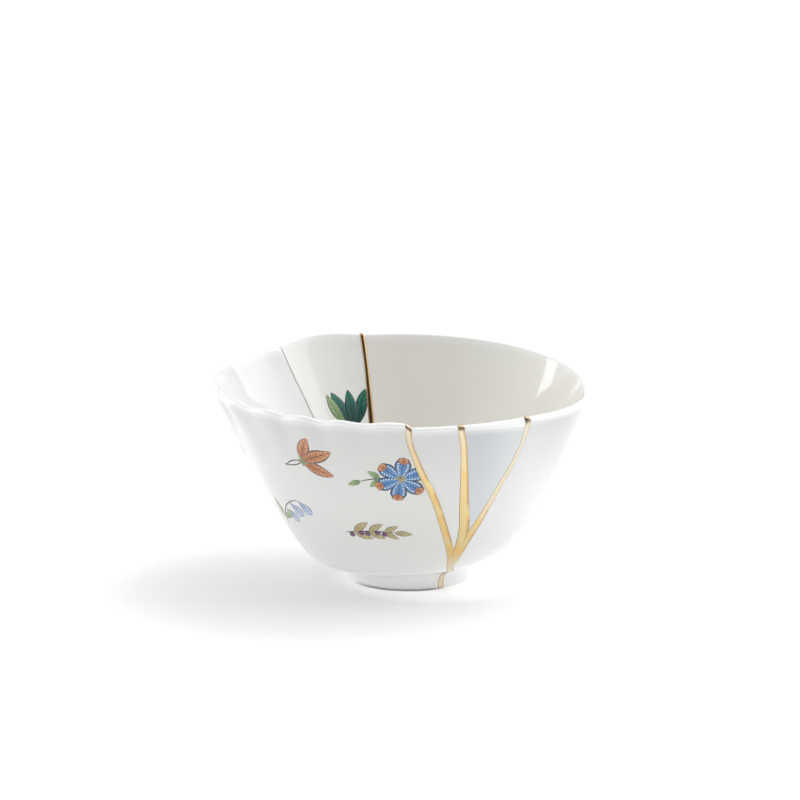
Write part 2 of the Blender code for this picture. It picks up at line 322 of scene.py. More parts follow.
    def handles(self, azimuth: Grid) -> tuple[Grid, Grid, Grid, Grid]:
        """Return the wall curve's four handles (radius, height) at each azimuth.

        Args:
            azimuth: Azimuths, in any shape.

        Returns:
            The foot, the low and the high handle, and the rim.
        """
        angle = np.radians(azimuth)
        rim_radius = 1.0 / np.hypot(np.cos(angle) / self.rim_side, np.sin(angle) / self.rim_front)
        foot = np.array((self.foot_corner, self.foot_height))
        rim = np.stack((rim_radius, np.full_like(rim_radius, self.height - self.lip_height)), -1)
        right = ((1.0 + np.cos(angle)) / 2.0)[..., None, None]
        shares = (1 - right) * np.array(self.belly_left) + right * np.array(self.belly_right)
        low = foot + shares[..., 0, :] * (rim - foot)
        high = foot + shares[..., 1, :] * (rim - foot)
        return np.broadcast_to(foot, rim.shape), low, high, rim

    def wall(self, azimuth: Grid, t: Grid, change: Grid | None = None,
             slant: bool = False) -> tuple[Grid, Grid]:
        """Return the outer wall and its normals.

        The wall is a cubic curve from the foot's corner (t 0) to the rim (t 1),
        and the rim's own rise and swell fade in towards it as the square of t.

        Args:
            azimuth: Azimuths, in any shape.
            t: The curve's parameter, in the same shape.
            change: The rim's swell, rise and slant, as a last axis of three.
            slant: Whether the wall stops short of the rim by the slant.

        Returns:
            Points (radius, height) and outward normals, with a last axis of two.
        """
        foot, low, high, rim = self.handles(azimuth)
        t = np.asarray(t)[..., None]
        points = ((1 - t) ** 3 * foot + 3 * (1 - t) ** 2 * t * low
                  + 3 * (1 - t) * t ** 2 * high + t ** 3 * rim)
        slope = unit((1 - t) ** 2 * (low - foot) + 2 * (1 - t) * t * (high - low)
                     + t ** 2 * (rim - high))
        normals = np.stack((slope[..., 1], -slope[..., 0]), -1)
        if change is not None:
            fade = np.clip((t - self.wave_start) / (1.0 - self.wave_start), 0.0, 1.0) ** 2
            points = points + change[..., :2] * fade
            if slant:
                points = points - change[..., 2:] * fade * slope
        return points, normals

    def height_to_t(self, azimuth: float, share: float) -> float:
        """Return the wall's parameter at a share of the bowl's height.

        Args:
            azimuth: The azimuth.
            share: The share of the bowl's height.

        Returns:
            The parameter.
        """
        t = np.linspace(0.0, 1.0, 400)
        points, _ = self.wall(np.full_like(t, azimuth), t)
        return float(np.interp(share * self.height, points[:, 1], t))

    def place(self, azimuth: Grid, points: Grid, pole: Grid | float = 0.0) -> Grid:
        """Turn section points into places; the axis leans from the foot to the rim's centre.

        Args:
            azimuth: The azimuths.
            points: Section points (radius, height) there.
            pole: How far further right each lies.

        Returns:
            The places.
        """
        angle = np.radians(azimuth)
        radius, height = points[..., 0], points[..., 1]
        shift = self.foot_shift + (self.rim_shift - self.foot_shift) * height / self.height + pole
        return np.stack((shift + radius * np.cos(angle), radius * np.sin(angle), height), -1)

    def surface(self, azimuth: Grid, change: Callable[[Grid, Grid], Grid]) -> tuple[Grid, Grid]:
        """Return the whole surface over a grid of azimuths, one column each.

        Args:
            azimuth: Azimuths, columns by rows.
            change: Gives the rim's swell, rise and slant for azimuths and wall parameters.

        Returns:
            Places and outward normals, columns by rows by three.
        """
        half, walls = self.half, self.wall_rows
        out = slice(half, half + walls)
        lip = slice(half + walls, half + walls + self.lip_rows)
        inn = slice(lip.stop, lip.stop + walls)
        points = np.zeros(azimuth.shape + (2,))
        t = np.broadcast_to(self.row_t, azimuth.shape)
        around, along_wall = azimuth[:, out], t[:, out]
        outer, out_normal = self.wall(around, along_wall, change(around, along_wall), True)
        around, along_wall = azimuth[:, inn], t[:, inn]
        inner, in_normal = self.wall(around, along_wall, change(around, along_wall))
        points[:, out] = outer
        points[:, inn] = inner - in_normal * self.thickness(t[:, inn, None])
        turn = np.linspace(0.0, math.pi, self.lip_rows + 2)[1:-1, None]
        ends = (outer[:, -1:], points[:, inn][:, :1])
        reach = (ends[0] - ends[1]) / 2.0
        up = out_normal[:, -1:, ::-1] * np.array((-1.0, 1.0)) * self.wall_at_rim / 2.0
        points[:, lip] = (ends[0] + ends[1]) / 2.0 + np.cos(turn) * reach + np.sin(turn) * up
        base = self.base_rows
        points[:, :base] = self.under
        q = np.linspace(0.0, 1.0, self.fillet_rows + 2)[1:-1, None]
        corner = np.array((self.foot_corner, self.foot_height))
        points[:, base:half] = curve(self.under[-1], corner, outer[:, :1], q)
        share = np.linspace(0.0, 1.0, half + 1)[1:]
        start = points[:, inn][:, -1:]
        radius = start[..., 0] * (1.0 - share)
        flat = self.floor_flat * start[..., 0]
        bowl = np.clip((radius - flat) / (start[..., 0] - flat), 0.0, 1.0) ** self.floor_curl
        points[:, inn.stop:, 0] = radius
        points[:, inn.stop:, 1] = self.floor_height + (start[..., 1] - self.floor_height) * bowl
        along = unit(np.gradient(points, axis=1))
        normal = np.stack((along[..., 1], -along[..., 0]), -1)
        normal[:, out] = out_normal
        normal[:, inn] = -in_normal
        flat_radius = self.foot_base - self.foot_ring - self.foot_rounding[0]
        low = np.clip(1.0 - points[..., 0] / flat_radius, 0.0, 1.0)
        low[:, out.start:inn.stop] = 0.0
        angle = np.radians(azimuth)
        facing = np.stack((normal[..., 0] * np.cos(angle), normal[..., 0] * np.sin(angle),
                           normal[..., 1]), -1)
        return self.place(azimuth, points, self.recess_pole * low), unit(facing)


class SeamLines:
    """Where each seam runs on the form's rows."""

    def __init__(self, form: Form) -> None:
        """Read every seam on every row of a form.

        Args:
            form: The bowl.
        """
        self.form = form
        self.azimuth: dict[Seam, Grid] = {}
        self.width: dict[Seam, Grid] = {}
        for seam in Seam:
            self.azimuth[seam], self.width[seam] = self._read(seam.value)
        for seam, trunk in ((Seam.MIDDLE, Seam.RIGHT), (Seam.LEFT, Seam.RIGHT),
                            (Seam.BACK_LEFT, Seam.BACK)):
            self._join(seam, trunk)
        for seam, limit, nearer in ((Seam.MIDDLE, Seam.RIGHT, np.minimum),
                                    (Seam.LEFT, Seam.RIGHT, np.minimum),
                                    (Seam.LEFT, Seam.MIDDLE, np.minimum),
                                    (Seam.BACK_LEFT, Seam.BACK, np.maximum)):
            self.azimuth[seam] = nearer(self.azimuth[seam], self.azimuth[limit])

    def _read(self, course: Course) -> tuple[Grid, Grid]:
        """Return a course's azimuth and width on every row.

        Between its stops the seam follows a smooth line over the wall's
        parameter; under the floor it follows its own stops over the radius.

        Args:
            course: The course.

        Returns:
            The azimuths and the widths.
        """
        form = self.form
        stops = [(form.height_to_t(azimuth, min(share, 0.978)) if share < 1.0 else 1.0,
                  azimuth, width) for azimuth, share, width in course.wall]
        line = smooth_line(sorted(stops), 12)
        shares = np.linspace(0.0, 1.0, len(course.base))
        widths = np.full(len(shares), course.base_width)
        base = smooth_line(np.stack((shares, course.base, widths), -1), 12)
        radius = np.concatenate((form.under[:, 0], np.full(form.fillet_rows, form.foot_corner)))
        share = np.minimum(radius / form.foot_corner, 1.0)
        ease = smooth_step((form.row_t - form.fillet_end) / (line[0, 0] - form.fillet_end))
        values = []
        for column in (1, 2):
            below = np.interp(share, base[:, 0], base[:, column])
            low = below[-1] + (line[0, column] - below[-1]) * ease
            wall = np.interp(form.row_t, line[:, 0], line[:, column])
            wall = np.where(form.row_t < line[0, 0], low, wall)
            wall[:form.half] = below
            wall[-form.half:] = below[::-1]
            values.append(wall)
        return values[0], values[1]

    def _join(self, seam: Seam, trunk: Seam) -> None:
        """Let a branch follow its trunk below the last of its own stops."""
        low = self.form.row_t < self.foot_of(seam)
        for lines in (self.azimuth, self.width):
            lines[seam] = np.where(low, lines[trunk], lines[seam])

    def foot_of(self, seam: Seam) -> float:
        """Return the wall's parameter at the last of a seam's stops."""
        azimuth, share, _ = seam.value.wall[-1]
        return self.form.height_to_t(azimuth, share)


@dataclass(frozen=True)
class Shard:
    """A shard between two seams.

    Attributes:
        name: The piece's name.
        node: The CAD node that it stands for.
        rim: How its rim runs.
        first: The seam at its lower azimuth.
        last: The seam at its higher azimuth.
        columns: How many columns its mesh has.
        turn: Added to the first seam's azimuth where the shard reaches past 180.
        slant: How much more its lip slopes out at its higher azimuth.
    """

    name: str
    node: str
    rim: RimLine
    first: Seam
    last: Seam
    columns: int
    turn: float = 0.0
    slant: float = 0.0


SHARDS = (
    Shard("waved_left_shard", "left_shard", RimLine.WAVED, Seam.BACK_LEFT, Seam.LEFT, 170,
          turn=-360.0),
    Shard("front_left_wedge_glazed", "front_left_wedge", RimLine.LOWERED, Seam.LEFT,
          Seam.MIDDLE, 24),
    Shard("front_right_wedge_glazed", "front_right_wedge", RimLine.LOWERED, Seam.MIDDLE,
          Seam.RIGHT, 30, slant=0.0022),
    Shard("plain_right_shard", "right_shard", RimLine.PLAIN, Seam.RIGHT, Seam.BACK, 150),
    Shard("arched_back_wedge", "back_wedge", RimLine.ARCHED, Seam.BACK, Seam.BACK_LEFT, 40),
)


@dataclass(frozen=True)
class Rim:
    """The rim's own swell, rise and slant, which differ from shard to shard.

    Attributes:
        form: The bowl.
        lines: Its seams on its rows.
    """

    form: Form
    lines: SeamLines

    def level(self, shard: Shard, azimuth: Grid) -> Grid:
        """Return a shard's swell, rise and slant at each azimuth, as a last axis of three.

        A waved and a plain rim are smooth lines through their stops, and the
        waved one also swells out where it rises. An arched one is a half sine.

        Args:
            shard: The shard.
            azimuth: The azimuths.

        Returns:
            The three at each azimuth.
        """
        form = self.form
        swell = np.zeros_like(azimuth)
        if shard.rim is RimLine.WAVED:
            turns, rises = smooth_line(form.waved_rim, 6).T
            rise = np.interp(-(-azimuth % 360.0), turns, rises)
            swell = form.wave_out * rise
        elif shard.rim is RimLine.PLAIN:
            turns, rises = smooth_line(form.plain_rim, 4).T
            rise = np.interp(azimuth, turns, rises)
        elif shard.rim is RimLine.ARCHED:
            span = Seam.BACK_LEFT.at_rim - Seam.BACK.at_rim
            share = np.clip((azimuth % 360.0 - Seam.BACK.at_rim) / span, 0.0, 1.0)
            arch = np.sin(np.pi * share)
            swell = form.arch_swell * arch
            rise = form.arch_rise * arch + (1.0 - share) * form.plain_rim[-1][1]
        else:
            rise = np.full_like(azimuth, -form.wedge_drop)
        share = (azimuth - form.slant_from) / (form.slant_to - form.slant_from)
        slant = form.lip_slant + shard.slant * np.clip(share, 0.0, 1.0)
        return np.stack((swell, rise, slant), -1)

    def seam_azimuth(self, seam: Seam, t: Grid) -> Grid:
        """Return a seam's azimuth at each wall parameter.

        Args:
            seam: The seam.
            t: The wall parameters.

        Returns:
            The azimuths.
        """
        form = self.form
        walls = slice(form.half, form.half + form.wall_rows)
        return np.interp(t, form.wall_t, self.lines.azimuth[seam][walls])

    def of(self, shard: Shard) -> Callable[[Grid, Grid], Grid]:
        """Return a shard's swell, rise and slant, eased to its neighbours' under the gold.

        Args:
            shard: The shard.

        Returns:
            A function of azimuths and wall parameters.
        """
        order = SHARDS.index(shard)
        before, after = SHARDS[order - 1], SHARDS[(order + 1) % len(SHARDS)]

        def change(azimuth: Grid, t: Grid) -> Grid:
            """Return the three at these azimuths and wall parameters.

            Args:
                azimuth: The azimuths.
                t: The wall parameters.

            Returns:
                The three at each place.
            """
            own = self.level(shard, azimuth)
            for seam, other, turn in ((shard.first, before, shard.turn),
                                      (shard.last, after, 0.0)):
                middle = self.seam_azimuth(seam, t) + turn
                near = 1.0 - smooth_step(np.abs(azimuth - middle) / 0.9)
                step = self.level(other, middle) - self.level(shard, middle)
                own = own + 0.5 * step * near[..., None]
            return own

        return change


# Meshes


def grid_faces(columns: int, rows: int, close_columns: bool, close_rows: bool) -> Grid:
    """Return the four corners of each cell of a grid of points, column by column.

    Args:
        columns: How many columns of points there are.
        rows: How many points a column has.
        close_columns: Whether the last column joins the first.
        close_rows: Whether the last row joins the first.

    Returns:
        Four point numbers a row.
    """
    last_column = columns if close_columns else columns - 1
    last_row = rows if close_rows else rows - 1
    i, j = np.meshgrid(np.arange(last_column), np.arange(last_row), indexing="ij")
    k, m = (i + 1) % columns, (j + 1) % rows
    return np.stack((i * rows + j, k * rows + j, k * rows + m, i * rows + m), -1).reshape(-1, 4)


def fold_faces(start: int, count: int) -> Grid:
    """Return the faces that close a loop of points, numbered on from start, across its middle."""
    k = np.arange(count // 2)
    return start + np.stack((k, k + 1, count - 2 - k, count - 1 - k), -1)


def put(name: str, data: Any) -> bpy.types.Object:
    """Put a mesh, light or camera in the scene as an object.

    Args:
        name: The object's name.
        data: The mesh, light or camera.

    Returns:
        The object.
    """
    made = bpy.data.objects.new(name, data)
    bpy.context.scene.collection.objects.link(made)
    return made


def make_piece(name: str, points: Grid, faces: Grid, fields: dict[str, Grid] | None = None,
               uv: Grid | None = None) -> bpy.types.Object:
    """Make a closed piece from points and four-cornered faces.

    Points in the same place are merged, faces with no area are dissolved and
    the rest are turned to point outwards.

    Args:
        name: The piece's name.
        points: Places, in any shape before their last axis.
        faces: Four point numbers a row.
        fields: Values by attribute name, in a shape that fits the places.
        uv: Two map coordinates for each point.

    Returns:
        The piece.
    """
    mesh = bpy.data.meshes.new(name)
    mesh.from_pydata(points.reshape(-1, 3).tolist(), [], faces.tolist())
    for label, values in (fields or {}).items():
        layer = mesh.attributes.new(label, "FLOAT", "POINT")
        spread = np.broadcast_to(values, points.shape[:-1]).astype(np.float32)
        layer.data.foreach_set("value", spread.reshape(-1))
    if uv is not None:
        corners = np.zeros(len(mesh.loops), dtype=np.int32)
        mesh.loops.foreach_get("vertex_index", corners)
        layer = mesh.uv_layers.new(name="UVMap")
        layer.data.foreach_set("uv", uv.reshape(-1, 2)[corners].astype(np.float32).reshape(-1))
    shape = bmesh.new()
    shape.from_mesh(mesh)
    bmesh.ops.remove_doubles(shape, verts=shape.verts, dist=2e-7)
    bmesh.ops.dissolve_degenerate(shape, dist=1e-7, edges=shape.edges)
    bmesh.ops.recalc_face_normals(shape, faces=shape.faces)
    if shape.calc_volume(signed=True) < 0.0:
        bmesh.ops.reverse_faces(shape, faces=shape.faces)
    shape.to_mesh(mesh)
    shape.free()
    mesh.shade_smooth()
    return put(name, mesh)


def dress(piece: bpy.types.Object, slot: Slot, material: bpy.types.Material,
          *nodes: str) -> bpy.types.Object:
    """Finish a piece, let it ride on the bowl and hide the CAD nodes that it stands for.

    Args:
        piece: The piece.
        slot: The slot of its material; not used.
        material: Its finish.
        nodes: The CAD nodes that it replaces.

    Returns:
        The piece.
    """
    piece.data.materials.append(material)
    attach(piece, BODY)
    if nodes:
        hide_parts(*nodes)
    LOG.info("%s: %d faces", piece.name, len(piece.data.polygons))
    return piece


# Material graphs


@dataclass(frozen=True)
class Signal:
    """A value in a material graph; sums on it add Math nodes."""

    graph: "Graph"
    socket: Any

    def _math(self, operation: str, other: "Signal | float", swap: bool = False) -> "Signal":
        """Add one Math node between this value and another."""
        pair = (other, self) if swap else (self, other)
        return self.graph.value("ShaderNodeMath", {"operation": operation}, dict(enumerate(pair)))

    def __add__(self, other: "Signal | float") -> "Signal":
        """Return this value plus another."""
        return self._math("ADD", other)

    def __radd__(self, other: float) -> "Signal":
        """Return a number plus this value."""
        return self._math("ADD", other, True)

    def __sub__(self, other: "Signal | float") -> "Signal":
        """Return this value less another."""
        return self._math("SUBTRACT", other)

    def __rsub__(self, other: float) -> "Signal":
        """Return a number less this value."""
        return self._math("SUBTRACT", other, True)

    def __mul__(self, other: "Signal | float") -> "Signal":
        """Return this value times another."""
        return self._math("MULTIPLY", other)

    def __rmul__(self, other: float) -> "Signal":
        """Return a number times this value."""
        return self._math("MULTIPLY", other, True)

    def __truediv__(self, other: "Signal | float") -> "Signal":
        """Return this value divided by another."""
        return self._math("DIVIDE", other)

    def __pow__(self, other: float) -> "Signal":
        """Return this value to a power."""
        return self._math("POWER", other)


class Graph:
    """The node graph of a material or of the world."""

    def __init__(self, owner: Any, shader: str = "Principled BSDF") -> None:
        """Start the graph.

        Args:
            owner: The material or the world.
            shader: The name of the shader node that it starts with.
        """
        owner.use_nodes = True
        self.owner = owner
        self.tree = owner.node_tree
        self.shader = self.tree.nodes[shader]

    def node(self, kind: str, settings: dict[str, Any], sockets: dict[Any, Any]) -> Any:
        """Add a node.

        Args:
            kind: The node's type.
            settings: Its settings, set first; stops holds a ramp's stops.
            sockets: A value or a Signal for each named or numbered input.

        Returns:
            The node.
        """
        made = self.tree.nodes.new(kind)
        for key, value in settings.items():
            if key == "stops":
                ramp = made.color_ramp
                while len(ramp.elements) < len(value):
                    ramp.elements.new(1.0)
                for element, (place, color) in zip(ramp.elements, value):
                    element.position, element.color = place, (*color, 1.0)
            else:
                setattr(made, key, value)
        self.feed(made, sockets)
        return made

    def feed(self, node: Any, sockets: dict[Any, Any]) -> None:
        """Give a node's inputs their values or links.

        Args:
            node: The node.
            sockets: A value or a Signal for each named or numbered input.
        """
        for key, value in sockets.items():
            if isinstance(value, Signal):
                self.tree.links.new(value.socket, node.inputs[key])
            else:
                node.inputs[key].default_value = value

    def value(self, kind: str, settings: dict[str, Any], sockets: dict[Any, Any],
              output: int | str = 0) -> Signal:
        """Add a node and return one of its outputs."""
        return Signal(self, self.node(kind, settings, sockets).outputs[output])

    def attribute(self, name: str) -> Signal:
        """Return a value stored on the piece's points."""
        return self.value("ShaderNodeAttribute", {"attribute_name": name}, {}, "Fac")

    def place(self) -> Signal:
        """Return the point's place on the piece."""
        return self.value("ShaderNodeTexCoord", {}, {}, "Object")

    def parts(self, vector: Signal) -> list[Signal]:
        """Return a vector's three parts."""
        split = self.node("ShaderNodeSeparateXYZ", {}, {0: vector})
        return [Signal(self, output) for output in split.outputs]

    def noise(self, scale: float, detail: float) -> Signal:
        """Return soft noise from 0 to 1 with so many bumps a metre."""
        return self.value("ShaderNodeTexNoise", {},
                          {"Vector": self.place(), "Scale": scale, "Detail": detail})

    def ramp(self, factor: Signal, low: float, high: float) -> Signal:
        """Ease a value from 0 at low to 1 at high."""
        return self.value("ShaderNodeMapRange", {"interpolation_type": "SMOOTHSTEP"},
                          {"Value": factor, "From Min": low, "From Max": high})

    def blend(self, factor: "Signal | float", first: Any, second: Any) -> Signal:
        """Mix two colours."""
        first, second = ((*c, 1.0) if isinstance(c, tuple) else c for c in (first, second))
        return self.value("ShaderNodeMix", {"data_type": "RGBA"},
                          {"Factor": factor, 6: first, 7: second}, 2)

    def bump(self, height: Signal, distance: float, strength: float,
             under: "Signal | None" = None) -> Signal:
        """Return a normal bent by a height.

        Args:
            height: The height, from 0 to 1.
            distance: How far the height reaches, in metres.
            strength: How strongly it shows, from 0 to 1.
            under: A normal that it adds to.

        Returns:
            The normal.
        """
        sockets = {"Height": height, "Distance": distance, "Strength": strength}
        if under is not None:
            sockets["Normal"] = under
        return self.value("ShaderNodeBump", {}, sockets)


@dataclass(frozen=True)
class Glaze:
    """Glossy white porcelain glaze over a bare foot.

    Attributes:
        name: The material's name.
        outside: Its colour outside the bowl.
        inside: Its colour inside the bowl.
        far: Its colour outside towards one side, if that differs: painted shade on the left and
            right shards, and the fade of the painted reflection on the front right wedge.
        far_at: Where the two outside colours start and stop blending, from left to right.
        lip: Its colour along the lip, a painted highlight; low on the outside it also paints the
            wall lighter towards the foot.
        bare: The unglazed clay's colour.
        roughness: How rough the glaze is.
    """

    name: str
    outside: Color
    inside: Color = (0.86, 0.86, 0.83)
    far: Color | None = None
    far_at: tuple[float, float] = (0.028, 0.045)
    lip: Color = (0.90, 0.90, 0.89)
    bare: Color = (0.74, 0.70, 0.62)
    roughness: float = 0.05

    def material(self) -> bpy.types.Material:
        """Return the finish: faint clouds of tone, painted shade and highlights, a softly rippled
        coat and a bare foot.

        Returns:
            The material.
        """
        g = Graph(bpy.data.materials.new(self.name))
        clouds = g.ramp(g.noise(45.0, 3.0), 0.35, 0.68)
        across, deep, height = g.parts(g.place())
        # Painted shade outside towards the bowl's left and right sides; on the front right wedge
        # this fades out its painted reflection.
        outside = g.blend(g.ramp(across, *self.far_at), self.outside, self.far or self.outside)
        # Painted shade where the outside turns away sideways, towards the silhouette.
        sideways = across * across / (across * across + deep * deep)
        outside = g.blend(0.16 * g.ramp(sideways, 0.78, 1.0), outside, BLACK)
        # Painted shade outside towards the rim.
        outside = g.blend(0.16 * g.ramp(height, 0.035, 0.078), outside, BLACK)
        # Painted light: the outside turns to the lip's colour towards the foot.
        outside = g.blend(g.ramp(height, 0.028, 0.0), outside, self.lip)
        sides = g.blend(g.attribute("inside"), outside, self.inside)
        # Painted highlight along the lip.
        tone = g.blend(g.attribute("lip"), sides, self.lip)
        color = g.blend(clouds, tone, g.blend(0.06, tone, (0.62, 0.64, 0.60)))
        bare = g.attribute("bare")
        grain = g.noise(2600.0, 4.0)
        clay = g.blend(grain, self.bare, tuple(0.8 * c for c in self.bare))
        ripple = g.bump(g.noise(120.0, 2.0), 0.00025, 0.10)
        skin = g.bump(g.noise(1500.0, 2.0), 0.00003, 0.10, ripple)
        rough = self.roughness + 0.05 * g.noise(300.0, 3.0) + 0.6 * bare
        g.feed(g.shader, {
            "Base Color": g.blend(bare, color, clay), "Roughness": rough, "Normal": skin,
            "Coat Weight": 0.12 - 0.12 * bare, "Coat Roughness": 0.03, "IOR": 1.41})
        return g.owner


@dataclass(frozen=True)
class Gilding:
    """Bright metal over the seams.

    Attributes:
        name: The material's name.
        thick: The metal's colour where it is thick.
        thin: Its colour where it is thin.
        worn: Its colour near the rim and the foot, which it also takes towards the right of the
            bowl.
        inner: Its colour inside the bowl, darker and browner: a painted reflection of dark
            surroundings.
        brim: The colour of a dark reflection painted across the metal under the lip's outer corner,
            where the metal is also made dull and rough.
        side: Its colour towards one of its sides, a painted dark reflection.
        edge: Its colour along its edges, a thin line of painted shade.
        roughness: How rough it is.
        metallic: One for metal, zero for a pale filler.
    """

    name: str
    thick: Color = (0.75, 0.60, 0.31)
    thin: Color = (0.78, 0.53, 0.20)
    worn: Color = (0.70, 0.64, 0.50)
    inner: Color = (0.45, 0.29, 0.13)
    brim: Color = (0.13, 0.08, 0.035)
    side: Color = (0.50, 0.32, 0.14)
    edge: Color = (0.32, 0.25, 0.17)
    roughness: float = 0.14
    metallic: float = 1.0

    def material(self) -> bpy.types.Material:
        """Return the finish: patches of tone, a brushed-on skin, and painted shade and reflections:
        thin dark lines along its sides, a darker side, a darker inside and a dark bar under the
        lip.

        Returns:
            The material.
        """
        g = Graph(bpy.data.materials.new(self.name))
        patches = g.ramp(g.noise(160.0, 4.0), 0.40, 0.70)
        side = g.attribute("side")
        across, _, height = g.parts(g.place())
        # Paler near the rim and the foot, and towards the right of the bowl.
        ends = (g.ramp(height, 0.050, 0.074) + g.ramp(height, 0.022, 0.012)
                + g.ramp(across, 0.025, 0.034))
        color = g.blend(patches, self.thick, self.thin)
        color = g.blend(0.75 * ends, color, self.worn)
        # Painted reflection: darker, browner metal inside the bowl.
        color = g.blend(0.85 * g.attribute("inside"), color, self.inner)
        # Painted dark reflection down one side of a seam, in patches.
        shaded = g.ramp(side, 0.15, 0.75) * g.ramp(g.noise(110.0, 1.0), 0.30, 0.50)
        color = g.blend(0.85 * shaded, color, self.side)
        # Painted dark reflection under the lip's outer corner, weaker on the right seam; the metal
        # is made dull there too.
        brim = g.attribute("brim") * (1.0 - 0.7 * g.ramp(across, 0.030, 0.040))
        color = g.blend(brim, color, self.brim)
        # Painted shade in a thin dark line along both sides of the band.
        color = g.blend(g.ramp(side * side, 0.70, 1.0), color, self.edge)
        strokes = g.bump(g.noise(420.0, 3.0), 0.0002, 0.22)
        grain = g.bump(g.noise(2400.0, 2.0), 0.00004, 0.25, strokes)
        g.feed(g.shader, {
            "Base Color": color, "Metallic": self.metallic - self.metallic * brim,
            "Normal": grain,
            "Roughness": self.roughness + 0.14 * g.noise(520.0, 3.0) + 0.3 * brim})
        return g.owner


# The bowl


@dataclass(frozen=True)
class Porcelain:
    """The shards.

    Attributes:
        rim: The bowl's rim, which knows its form and its seams.
    """

    rim: Rim

    def glaze(self, shard: Shard) -> Glaze:
        """Return the glaze of a shard, since the shards' whites differ a little; some also carry
        painted shade towards a side, and the front right wedge a painted dark blue reflection.
        """
        whites = {
            # Painted shade darkens the left shard's outside at the far left.
            "left_shard": Glaze("glaze_soft_white", (0.765, 0.765, 0.735), (0.745, 0.745, 0.735),
                                (0.58, 0.58, 0.57), (-0.0575, -0.0635)),
            "front_left_wedge": Glaze("glaze_grey_white", (0.77, 0.77, 0.745)),
            # The front right wedge's darker, bluer outside is a painted reflection of dark blue
            # surroundings, fading towards the right.
            "front_right_wedge": Glaze("glaze_white_painted_blue_reflection", (0.65, 0.675, 0.69), (0.84, 0.85, 0.84),
                                       (0.75, 0.78, 0.78)),
            # Painted shade darkens the right shard's outside at the far right.
            "right_shard": Glaze("glaze_clear_white", (0.785, 0.785, 0.775), (0.83, 0.81, 0.75),
                                 (0.61, 0.61, 0.605), (0.045, 0.064)),
            "back_wedge": Glaze("glaze_warm_white", (0.86, 0.86, 0.84), (0.84, 0.84, 0.81)),
        }
        return whites[shard.node]

    def build(self, shard: Shard) -> bpy.types.Object:
        """Build a shard: the bowl's surface between two seams, closed along them.

        Its columns share out the azimuth between the seams evenly on every
        row, and strips between the outer and the inner wall close its ends.

        Args:
            shard: The shard.

        Returns:
            The piece.
        """
        form, lines = self.rim.form, self.rim.lines
        first, last = lines.azimuth[shard.first] + shard.turn, lines.azimuth[shard.last]
        share = np.linspace(0.0, 1.0, shard.columns)[:, None]
        points, _ = form.surface(first + share * (last - first), self.rim.of(shard))
        low = max(np.flatnonzero(last - first > 0.01)[0] - 1, 0)
        kept = slice(low, form.rows - low)
        points = points[:, kept]
        rows = points.shape[1]
        faces = [grid_faces(shard.columns, rows, False, False), fold_faces(0, rows),
                 fold_faces((shard.columns - 1) * rows, rows)]
        fields = {"inside": form.inward[kept], "lip": form.lip[kept], "bare": form.bare[kept]}
        return make_piece(shard.name, points, np.concatenate(faces), fields)


